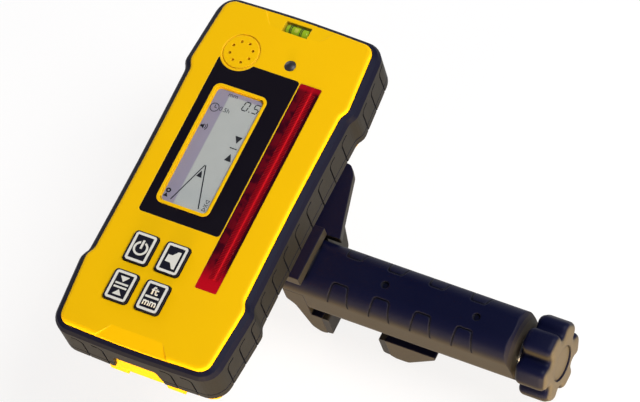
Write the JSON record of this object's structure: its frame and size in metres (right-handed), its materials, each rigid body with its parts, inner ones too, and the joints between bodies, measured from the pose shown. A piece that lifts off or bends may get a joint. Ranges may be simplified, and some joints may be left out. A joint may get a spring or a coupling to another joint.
{
  "type": "laser receiver with rod clamp",
  "caption": "Hand-held laser receiver in a rubber-edged case with display, keys, level vial and receiving window, on a screw clamp with jaws for a levelling rod.",
  "frame": {"origin": "centre of the fixed jaw's bearing face, against which a levelling rod rests", "axes": "+X along the clamp from the fixed jaw to the knob, +Y along the rod to the level vial end, +Z out of the display"},
  "size_m": [0.1931, 0.1696, 0.0866],
  "materials": {
    "yellow_abs": "fine moulded",
    "black_rubber": "matt moulded",
    "black_nylon": "fine spark-eroded grain",
    "label_film": "satin film",
    "clear_acrylic": "clear",
    "display_glass": "grey display glass",
    "red_filter": "translucent filter",
    "circuit_board": "solder mask",
    "component_black": "moulded",
    "plated_steel": "zinc plated",
    "brass": "turned",
    "key_rubber": "silicone",
    "vial_acrylic": "clear",
    "vial_spirit": "green spirit",
    "cell_jacket": "plain film jacket"
  },
  "bodies": {
    "receiver": {"front_shell": "yellow_abs", "rear_shell": "yellow_abs", "front_bumper": "black_rubber", "rear_bumper": "black_rubber", "display_label": "label_film", "display_frame": "yellow_abs", "display_window": "clear_acrylic", "lcd_panel": "display_glass", "receiver_window": "red_filter", "photodiode_board": "circuit_board", "photodiodes": "component_black", "main_board": "circuit_board", "board_screws": "plated_steel", "buzzer": "component_black", "strobe_sensor_lens": "component_black", "level_vial": "vial_acrylic", "vial_fluid": "vial_spirit", "key_switches": "component_black", "batteries": "cell_jacket", "battery_contacts": "plated_steel", "shell_screws": "plated_steel", "clamp_inserts": "brass", "clamp_body": "black_nylon", "clamp_screws": "plated_steel", "fixed_jaw": "black_nylon", "fixed_jaw_pad": "black_rubber", "jaw_screws": "plated_steel", "end_bush": "brass", "knob_bush": "brass"},
    "power_key": {"power_button": "key_rubber"},
    "volume_key": {"volume_button": "key_rubber"},
    "accuracy_key": {"accuracy_button": "key_rubber"},
    "units_key": {"units_button": "key_rubber"},
    "door": {"battery_door": "yellow_abs", "door_hinge_pin": "plated_steel"},
    "jaw": {"moving_jaw": "black_nylon", "moving_jaw_pad": "black_rubber", "jaw_nut": "brass"},
    "knob": {"star_knob": "black_nylon", "knob_pin": "plated_steel", "knob_cap": "black_nylon", "lead_screw": "plated_steel", "thrust_washer": "plated_steel", "retaining_ring": "plated_steel"}
  },
  "joints": [
    {"name": "knob_turn", "type": "hinge", "parent": "receiver", "child": "knob", "pos_m": [0.1, 0, 0.018], "axis": [1, 0, 0], "range_deg": [-1801, 2161]},
    {"name": "jaw_slide", "type": "slide", "parent": "receiver", "child": "jaw", "axis": [1, 0, 0], "range_m": [-0.02, 0.024]},
    {"name": "door_hinge", "type": "hinge", "parent": "receiver", "child": "door", "pos_m": [-0.045, -0.0163, 0.0439], "axis": [1, 0, 0], "range_deg": [0, 90]},
    {"name": "power_press", "type": "slide", "parent": "receiver", "child": "power_key", "axis": [0, 0, -1], "range_m": [0, 0.0006], "stiffness_N_per_m": 3000},
    {"name": "volume_press", "type": "slide", "parent": "receiver", "child": "volume_key", "axis": [0, 0, -1], "range_m": [0, 0.0006], "stiffness_N_per_m": 3000},
    {"name": "accuracy_press", "type": "slide", "parent": "receiver", "child": "accuracy_key", "axis": [0, 0, -1], "range_m": [0, 0.0006], "stiffness_N_per_m": 3000},
    {"name": "units_press", "type": "slide", "parent": "receiver", "child": "units_key", "axis": [0, 0, -1], "range_m": [0, 0.0006], "stiffness_N_per_m": 3000}
  ],
  "couplings": [
    {"joint": "knob_turn", "follows": "jaw_slide", "rad_per_m": 1570.8}
  ]
}
